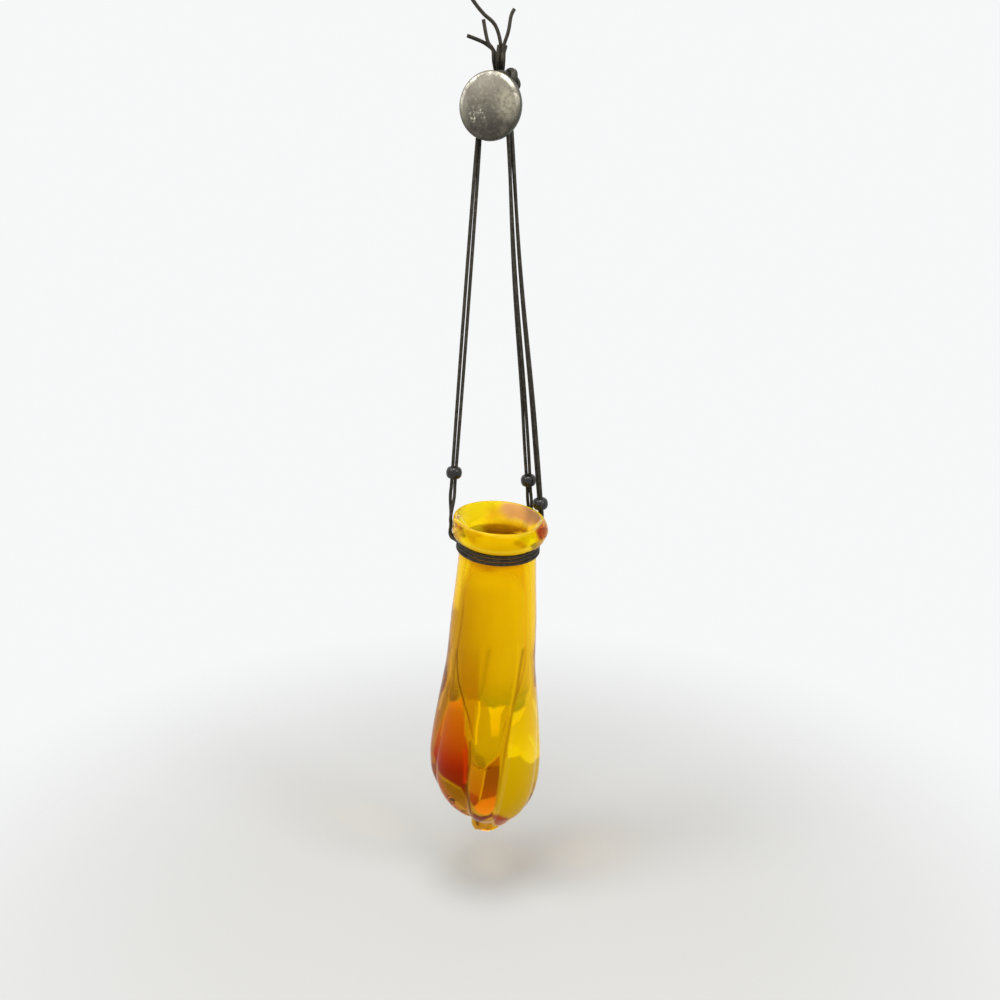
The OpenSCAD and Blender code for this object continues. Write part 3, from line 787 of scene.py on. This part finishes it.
# %% Laces from the neck to the knot
for name, run in RUNS.items():
    first, second = lace_end(run, 1, PLACES[name][0]), lace_end(run, -1, PLACES[name][1])
    curve = even(smooth(np.vstack([first[::-1], lace_loop(run), second]), 6), 1.1)
    lace = skin(name + "_lace", tube_rings(curve, CORD_R, 12))
    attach(lace, "hanging")
    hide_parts(name + "_cord")
    print(name, "lace: %.0f mm" % np.linalg.norm(np.diff(curve, axis=0), axis=1).sum())

# %% [markdown]
# ## The knot
# Over the knob the six ends are tied together in one overhand knot, pulled tight. Six tubes would
# have to be untangled from one another at every turn. The eye sees a thick strand with ridges,
# so the knot is one bundle whose section has six lobes, one for each lace, slowly twisting:
# radius = r (1 + g (|cos 3a| - 0.75)). Its path is a trefoil curve, open at both ends:
# (-o cos 2s, 2.6 sin 3s, -o sin 2s), with o = 3.5 + 1.5 cos 3s.

# %% Knot
EXIT = np.array([1.6, CORD_Y + 4.6, 17.0])
KNOT_R, BUNDLE_R, RIDGE = 1.95, RING_R + CORD_R, 0.2
s = np.radians(-43 - np.arange(16) * 20.0)
out = 3.5 + 1.5 * np.cos(3 * s)
trefoil = np.stack([-out * np.cos(2 * s), 2.6 * np.sin(3 * s), -out * np.sin(2 * s)], axis=1)
way_in = KNOT_IN + [[0, 0, 1], [0, 0, 2.2], [3, -1.1, 4]]
way_out = EXIT + [[-1, 0.9, -4.2], [-0.5, 0.5, -2], [0, 0, -0.8]]
route = np.vstack([way_in, KNOT_AT + [-1.2, 0, -1.1] + trefoil, way_out])
curve = even(np.vstack([KNOT_IN, smooth(route, 8), EXIT]), 0.4)
way = np.linspace(0, 1, len(curve))[:, None]
at_end = 1 - ease(np.minimum(way, 1 - way) / 0.14)
lobes = np.abs(np.cos(3 * (2 * np.pi * np.arange(72)[None, :] / 72 + 5 * way)))
radius = (KNOT_R + (BUNDLE_R - KNOT_R) * at_end) * (1 + (RIDGE + 0.08 * at_end) * (lobes - 0.75))
knot = skin("overhand_knot", tube_rings(curve, radius, 72))
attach(knot, "hanging")
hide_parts("top_knot")
print("knot: %.0f mm of bundle" % np.linalg.norm(np.diff(curve, axis=0), axis=1).sum())

# %% [markdown]
# ## The tails
# The cut ends stick out over the knot, each with its own bend from years of hanging. One is cut
# off by the photograph's edge, and ends a little beyond it. They are tubes like the laces, and
# each one starts inside the knot, so that no gap shows.

# %% Tails
TAILS = [  # place in the knot, points from the knot's top up
    (90, [[0, 2, 3.6], [0.4, 1.6, 7], [-0.9, 0.9, 12.7], [-3.1, 0.2, 16.7], [-7.4, -2.6, 20.7],
          [-11.9, -5.6, 26.7], [-15.4, -8, 33.2]]),
    (210, [[-2.6, -1.5, 3.6], [-4.8, -2.1, 6.7], [-6, -2.6, 11.2], [-6.9, -3.6, 17.7]]),
    (150, [[-2.7, 0.9, 2.9], [-4.9, 0.3, 5.3], [-8.4, -2, 7.7], [-14.4, -7, 10]]),
    (270, [[0.5, -2.1, 2.6], [0.9, -2.3, 4.2], [1.1, -2.4, 5.5]]),
    (330, [[2.3, -0.6, 3], [3.2, -0.2, 6.3], [5.2, 0.4, 12.2], [6.2, 1.4, 19.2], [7.6, 2.4, 22.5]]),
    (30, [[2.3, 1.7, 2.6], [2.6, 2.4, 4.2], [2.8, 3, 5.8]]),
]
for i, (place, points) in enumerate(TAILS):
    aside = RING_R * towards(place)
    in_knot = [EXIT + aside + [0, 0, -0.4], EXIT + aside + [0, -0.3, 1.4]]
    neck = KNOT_OUT + aside * [1.35, 0.95, 1] + [0, 0, -1.6]
    curve = even(smooth(np.vstack([in_knot, neck, KNOT_OUT + points]), 6), 0.6)
    tail = skin("tail_%d" % i, tube_rings(curve, CORD_R, 12))
    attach(tail, "hanging")
    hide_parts("cord_tails")
print(len(TAILS), "tails")

# %% [markdown]
# ## Beads
# A black bead holds the two ends of each lace together over the lip. Each is a barrel with a
# hole that is wide enough for two laces. A sphere with a hole cut by a boolean would have a
# ragged edge, so the bead is turned from one closed profile: the outer arc and the wall of the
# hole. It slides up its strand, so it rides on a body of its own.

# %% Beads
def bead_profile():
    """Rows (radius, height): an elliptical arc, r0 + (R - r0) cos(a) and half the length times
    sin(a), closed by the wall of the hole."""
    a = np.radians(np.linspace(-90, 90, 33))
    r0 = BEAD_HOLE / 2 + 0.3
    shell = np.stack([r0 + (BEAD_D / 2 - r0) * np.cos(a), BEAD_L / 2 * np.sin(a)], axis=1)
    return np.vstack([shell, [[BEAD_HOLE / 2, BEAD_L / 2 - 0.1], [BEAD_HOLE / 2, 0.1 - BEAD_L / 2]]])


for name, run in RUNS.items():
    middle, d, _ = strand(run, run.bead_at)
    side = np.cross([0, 1, 0], d)
    side /= np.linalg.norm(side)
    axes = np.stack([side, np.cross(d, side), d])
    bead = lathe(name + "_round_bead", bead_profile(), 64, lambda p: middle + p @ axes)
    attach(bead, name + "_bead_body")
    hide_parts(name + "_bead")
    print(name, "bead at", middle.round(1), "mm")

# %% [markdown]
# ## The knob
# The knob is turned on a lathe, or cast in cheaper ones: a stem with a screw hole, a flat back, a
# rounded rim and a slightly domed face. A cylinder with bevels would come close, but its face
# would be flat. So it is made as it is turned, from one profile. The dome is a parabola:
# height = crown (1 - u^2), with u from 1 at the rim to 0 in the middle.

# %% Knob
HEAD_R, HEAD_T, BACK = 17.0, 4.2, 24.06  # the head's radius and thickness, and where it begins
CROWN, ROUND = 1.4, 2.3  # the dome's height, and the width of the rounded rim
HOLE_R, HOLE_END = 3.0, 15
flat_r = HEAD_R - ROUND
a = np.radians(np.linspace(0, 84, 15))
rim = np.stack([flat_r + ROUND * np.cos(a), BACK + HEAD_T - 1.5 + 1.5 * np.sin(a)], axis=1)
u = np.linspace(1, 0.004, 40)
dome = np.stack([flat_r * u, BACK + HEAD_T + CROWN * (1 - u**2)], axis=1)
stem = [[HOLE_R, 0], [STEM_R - 0.3, 0], [STEM_R, 0.3], [STEM_R, BACK - 0.3], [STEM_R + 0.3, BACK]]
back = [[HEAD_R - 0.6, BACK], [HEAD_R - 0.15, BACK + 0.15], [HEAD_R, BACK + 0.6]]
profile = np.vstack([stem, back, rim, dome, [[0.06, HOLE_END], [HOLE_R, HOLE_END]]])
knob = lathe("turned_knob", profile, 192, lambda p: np.stack([p[:, 0], -p[:, 2], p[:, 1]], axis=1))
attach(knob, "hanging")
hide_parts("round_knob")
print("knob:", len(knob.data.polygons), "faces")

# %% [markdown]
# ## Materials
# Each finish is a small net of nodes. They could be clicked together by hand in the shader
# editor. Written out, they take a few lines each with the helpers below. All patterns read the
# object's own coordinates, so they stay on a piece wherever it moves.

# %% Node helpers
class Nodes:
    """Short ways to add nodes to one node tree."""

    def __init__(self, owner, output):
        owner.use_nodes = True
        self.tree = owner.node_tree
        self.tree.nodes.clear()
        self.out = self.add(output)

    def put(self, socket, value):
        """Joins a socket to another one's output, or sets its own value."""
        if isinstance(value, bpy.types.NodeSocket):
            self.tree.links.new(value, socket)
        else:
            socket.default_value = value

    def add(self, kind, inputs=None, **settings):
        """A new node, with its settings, and with a value or a socket for each input named."""
        made = self.tree.nodes.new(kind)
        for key, value in settings.items():
            setattr(made, key, value)
        for key, value in (inputs or {}).items():
            self.put(made.inputs[key], value)
        return made

    def math(self, operation, a, b):
        """Two numbers or sockets joined by an operation, such as MULTIPLY."""
        return self.add("ShaderNodeMath", {0: a, 1: b}, operation=operation).outputs[0]

    def span(self, value, low, high, to_low=0.0, to_high=1.0):
        """A soft step from to_low to to_high while a value goes from low to high."""
        inputs = {"Value": value, "From Min": low, "From Max": high, "To Min": to_low, "To Max": to_high}
        return self.add("ShaderNodeMapRange", inputs, interpolation_type="SMOOTHSTEP").outputs[0]

    def mix(self, share, a, b, blend="MIX"):
        """Colour b over colour a, by a share."""
        a, b = (value if isinstance(value, bpy.types.NodeSocket) else (*value, 1) for value in (a, b))
        made = self.add("ShaderNodeMix", {0: share, 6: a, 7: b}, data_type="RGBA", blend_type=blend)
        return made.outputs[2]


print("helpers of a tree:", [name for name in vars(Nodes) if not name.startswith("_")])

# %% Finishes
class Finish(Nodes):
    """The nodes of a new material, with places on the object for its patterns."""

    def __init__(self, name):
        self.material = bpy.data.materials.new(name)
        super().__init__(self.material, "ShaderNodeOutputMaterial")
        self.coords = self.add("ShaderNodeTexCoord").outputs["Object"]

    def mapped(self, location=(0, 0, 0), rotation=(0, 0, 0), scale=(1, 1, 1), kind="TEXTURE"):
        """The object's own coordinates, moved, turned and scaled as a pattern is."""
        inputs = {"Vector": self.coords, "Location": location, "Rotation": rotation, "Scale": scale}
        return self.add("ShaderNodeMapping", inputs, vector_type=kind).outputs[0]

    def distance(self, vector):
        """The length of a vector, which is the distance from a pattern's middle."""
        return self.add("ShaderNodeVectorMath", {0: vector}, operation="LENGTH").outputs["Value"]

    def noise(self, vector, scale, detail=3, rough=0.5, distortion=0.0):
        """Clouds from 0 to 1, smaller with a larger scale and finer with more detail."""
        inputs = {"Vector": vector, "Scale": scale, "Detail": detail, "Roughness": rough,
                  "Distortion": distortion}
        return self.add("ShaderNodeTexNoise", inputs).outputs["Fac"]

    def bump(self, height, distance, strength):
        """Light and shade of a height pattern, whose full height is a distance in metres."""
        inputs = {"Height": height, "Distance": distance, "Strength": strength}
        return self.add("ShaderNodeBump", inputs).outputs[0]

    def surface(self, **inputs):
        """The shader that the material ends in. A word's underscore stands for a space."""
        inputs = {key.replace("_", " "): value for key, value in inputs.items()}
        self.put(self.out.inputs[0], self.add("ShaderNodeBsdfPrincipled", inputs).outputs[0])


def give(finish, *names):
    """Gives a finish to the named pieces."""
    for name in names:
        bpy.data.objects[name].data.materials.clear()
        bpy.data.objects[name].data.materials.append(finish.material)
    print(finish.material.name, "on", len(names), "pieces" if len(names) > 1 else "piece")


print("helpers of a finish:", [name for name in vars(Finish) if not name.startswith("_")])

# %% [markdown]
# ### Amber glass
# Clear, fire-polished glass, coloured right through. The skin's tint comes from the points of the
# mesh. Faint vertical streaks from the blowing multiply it, and a little absorption in the volume
# deepens it where the wall is thick. Real glass bends light by 1.5. But the colour is drawn on
# the skin, and such bending would tear the drawing apart and hide it behind black rings, so the
# glass bends by 1.15 only. Its reflections are tinted, as they are seen through coloured glass.

# %% Amber glass
glass = Finish("clear_amber")
tinted = glass.add("ShaderNodeVertexColor", layer_name="tint").outputs
veil = glass.noise(glass.mapped(rotation=(np.radians(4), np.radians(5), 0), scale=(1, 1, 5)), 60, 3, 0.5, 0.6)
streaks = glass.mix(glass.span(veil, 0.35, 0.7), (1, 1, 1), (0.97, 0.94, 0.88))
colour = glass.mix(1.0, tinted["Color"], streaks, "MULTIPLY")
glass.surface(Base_Color=colour, Roughness=0.02, IOR=1.15, Transmission_Weight=tinted["Alpha"],
              Specular_Tint=(1, 0.84, 0.16, 1))
volume = glass.add("ShaderNodeVolumeAbsorption", {"Color": (0.99, 0.975, 0.0, 1), "Density": 60.0})
glass.put(glass.out.inputs["Volume"], volume.outputs[0])
give(glass, "blown_glass")

# %% [markdown]
# ### Leather
# The laces were dyed black and have faded to a warm dark grey where they were rubbed. Leather
# scatters light at its pores. A fine noise gives the pores as a bump and as roughness, and a
# wider one the faded places.

# %% Leather
leather = Finish("rubbed_leather")
grain = leather.noise(leather.coords, 2600, 3, 0.6)
wear = leather.noise(leather.coords, 420, 3, 0.55, 0.5)
colour = leather.mix(leather.span(wear, 0.42, 0.72), (0.021, 0.0185, 0.0135), (0.057, 0.05, 0.038))
rough = leather.span(grain, 0.3, 0.75, 0.42, 0.62)
leather.surface(Base_Color=colour, Roughness=rough, Normal=leather.bump(grain, 0.00012, 0.6),
                Specular_IOR_Level=0.22, Specular_Tint=(1, 0.93, 0.78, 1))
tails = ["tail_%d" % i for i in range(len(TAILS))]
give(leather, "left_lace", "middle_lace", "right_lace", "overhand_knot", *tails)

# %% [markdown]
# ### Beads' finish
# Smooth, almost black, with a dull shine from handling. Pure black has no shape in a picture, so
# the colour stays a little above it, and cloudy roughness breaks up the shine.

# %% Beads' finish
gloss = Finish("handled_black")
cloud = gloss.noise(gloss.coords, 260, 3)
colour = gloss.mix(cloud, (0.009, 0.0085, 0.007), (0.024, 0.022, 0.018))
gloss.surface(Base_Color=colour, Roughness=gloss.span(cloud, 0.3, 0.8, 0.16, 0.34), Specular_IOR_Level=0.35)
give(gloss, "left_round_bead", "middle_round_bead", "right_round_bead")

# %% [markdown]
# ### Worn nickel
# The knob's plating is old and clouded with tarnish. Painted shade makes it darker low down and on
# the side, and lighter at the top, as a domed head reflects a bright top and a dark floor. The
# upper rim has a painted highlight, a patch at the left is scratched, and the right has a beige haze.
# A painted image could hold all this, but it would blur close up. Noise of three sizes gives the
# clouds, the mottle and the specks, and soft ellipses say where each of them shows.

# %% Masks on the knob
metal = Finish("old_nickel")
_, forward, height = metal.add("ShaderNodeSeparateXYZ", {0: metal.coords}).outputs
reach = metal.distance(metal.mapped(scale=(1, 0, 1), kind="POINT"))
cloud = metal.noise(metal.coords, 150, 6, 0.7, 0.7)
mottle = metal.noise(metal.coords, 380, 6, 0.75)
fine = metal.noise(metal.coords, 700, 4, 0.7)


def metal_patch(centre, radii, low, high):
    """1 in an ellipse of the head's face, fading outwards, from its centre and radii in metres."""
    at = metal.mapped((centre[0], 0, centre[1]), scale=(radii[0], 1e6, radii[1]))
    return metal.span(metal.distance(at), high, low)


def where(a, b):
    """A mask that shows only where both masks do: a times b."""
    return metal.math("MULTIPLY", a, b)


print("noises:", sum(node.type == "TEX_NOISE" for node in metal.tree.nodes))

# %% Worn nickel
# Painted shade: darker low down, lighter at the top; the pale spots thin out low down with it.
colour = metal.mix(metal.span(height, -0.016, 0.012), (0.05, 0.044, 0.036), (0.19, 0.17, 0.135))
colour = metal.mix(metal.span(cloud, 0.4, 0.66, 0, 0.45), colour, (0.2, 0.185, 0.145))
pale_spots = where(metal.span(mottle, 0.5, 0.66, 0, 0.5), metal.span(height, -0.016, 0.002, 0.15, 1))
colour = metal.mix(pale_spots, colour, (0.3, 0.28, 0.21))
dark_spots = metal.span(mottle, 0.46, 0.3, 0, 0.5)
colour = metal.mix(dark_spots, colour, (0.05, 0.042, 0.03))
left_shine = where(metal_patch((-0.0148, 0.001), (0.0035, 0.0105), 0.3, 1.2), 0.5)
colour = metal.mix(left_shine, colour, (0.3, 0.29, 0.23))
haze = metal_patch((0.0105, 0.001), (0.0065, 0.0095), 0.3, 1.2)
haze = where(haze, metal.span(mottle, 0.36, 0.56, 0.3, 0.95))
colour = metal.mix(haze, colour, (0.34, 0.31, 0.225))
# Painted highlight: a pale band along the upper rim, broken up by clouds.
rim = where(metal.span(reach, 0.0142, 0.0151), metal.span(reach, 0.0165, 0.0157))
upper = where(metal.span(height, -0.003, 0.006), metal.span(cloud, 0.42, 0.58, 0.08, 1.0))
colour = metal.mix(where(rim, upper), colour, (0.74, 0.71, 0.6))
scratched = metal_patch((-0.0065, -0.004), (0.0055, 0.0042), 0.5, 1.3)
scratched = where(scratched, metal.span(fine, 0.52, 0.6))
scattered = where(metal.span(fine, 0.65, 0.7), metal.span(height, -0.014, -0.002))
on_head = metal.span(forward, -0.024, -0.0255)
specks = where(metal.math("MAXIMUM", scratched, scattered), on_head)
colour = metal.mix(where(specks, 0.85), colour, (0.55, 0.52, 0.4))
# Painted shade on the head's side, darkest low down.
side = where(metal.span(reach, 0.0164, 0.0169), metal.span(height, -0.016, 0.016, 0.95, 0.7))
colour = metal.mix(side, colour, (0.07, 0.07, 0.058))
rough = metal.span(cloud, 0.3, 0.75, 0.52, 0.4)
metal.surface(Base_Color=colour, Metallic=0.9, Roughness=rough, Normal=metal.bump(fine, 0.00012, 0.4))
give(metal, "turned_knob")

# %% [markdown]
# ## Floor
# The object hangs free, so the floor only catches its soft shadow, well below it. It could be a
# large curved sheet. This one is a flat square that fades out into the backdrop. Light that
# passes through the glass sees the white backdrop instead of it, so that the glass shows its own
# colours.

# %% Floor
FLOOR_AT, HALF = -478, 900
corners = [[-HALF, -HALF, FLOOR_AT], [HALF, -HALF, FLOOR_AT], [HALF, HALF, FLOOR_AT], [-HALF, HALF, FLOOR_AT]]
floor = new_mesh("floor", corners, [[0, 1, 2, 3]], False)
pale = Finish("floor")
far = pale.distance(pale.mapped((0, -0.05, FLOOR_AT / 1000)))
diffuse = pale.add("ShaderNodeBsdfDiffuse", {"Color": (0.62, 0.615, 0.59, 1)})
clear = pale.add("ShaderNodeBsdfTransparent")
through_glass = pale.add("ShaderNodeLightPath").outputs["Is Transmission Ray"]
share = pale.math("MAXIMUM", pale.span(far, 0.12, 0.5), through_glass)
blend = pale.add("ShaderNodeMixShader", {0: share, 1: diffuse.outputs[0], 2: clear.outputs[0]})
pale.put(pale.out.inputs[0], blend.outputs[0])
give(pale, "floor")

# %% [markdown]
# ## Lamps
# Soft light from a large lamp overhead, as from a window, and two weaker ones at the left and the
# right, which draw the highlights on the glass, the beads and the knob's rim.

# %% Lamps
def softbox(name, place, aim, size, power):
    """A round lamp at a place in metres, tilted by arctan(level distance / height) and turned to
    look at its aim."""
    light = bpy.data.lights.new(name, "AREA")
    light.shape, light.size, light.energy = "DISK", size, power
    made = add_object(name, light)
    made.location = place
    away = np.array(place) - np.array(aim)
    flat = np.hypot(away[0], away[1])
    made.rotation_euler = (np.arctan2(flat, away[2]), 0, np.arctan2(away[0], -away[1]))


softbox("overhead", (0.1, -0.35, 0.75), (0, -0.05, -0.15), 0.5, 7)
softbox("left", (-0.55, -0.75, 0.75), (0, -0.05, -0.2), 0.5, 6)
softbox("right", (0.9, -0.35, 0.35), (0, -0.05, -0.2), 0.3, 3)
print("lamps:", [light.name for light in bpy.data.lights])

# %% [markdown]
# ## Backdrop
# The world is a white backdrop for what the camera, the reflections and the glass see, and a
# plain grey room for the light that falls on the object. One world for both would either be a
# grey picture or add light to everything.

# %% Backdrop
world = bpy.data.worlds.new("studio")
bpy.context.scene.world = world
studio = Nodes(world, "ShaderNodeOutputWorld")
rays = studio.add("ShaderNodeLightPath").outputs
by_glass = studio.math("MAXIMUM", rays["Is Glossy Ray"], rays["Is Transmission Ray"])
seen = studio.math("MAXIMUM", rays["Is Camera Ray"], by_glass)
room = studio.add("ShaderNodeBackground", {"Color": (0.5, 0.51, 0.53, 1)})
white = studio.add("ShaderNodeBackground", {"Color": (0.93, 0.935, 0.94, 1)})
chosen = studio.add("ShaderNodeMixShader", {0: seen, 1: room.outputs[0], 2: white.outputs[0]})
studio.put(studio.out.inputs[0], chosen.outputs[0])
print("world:", world.name)

# %% [markdown]
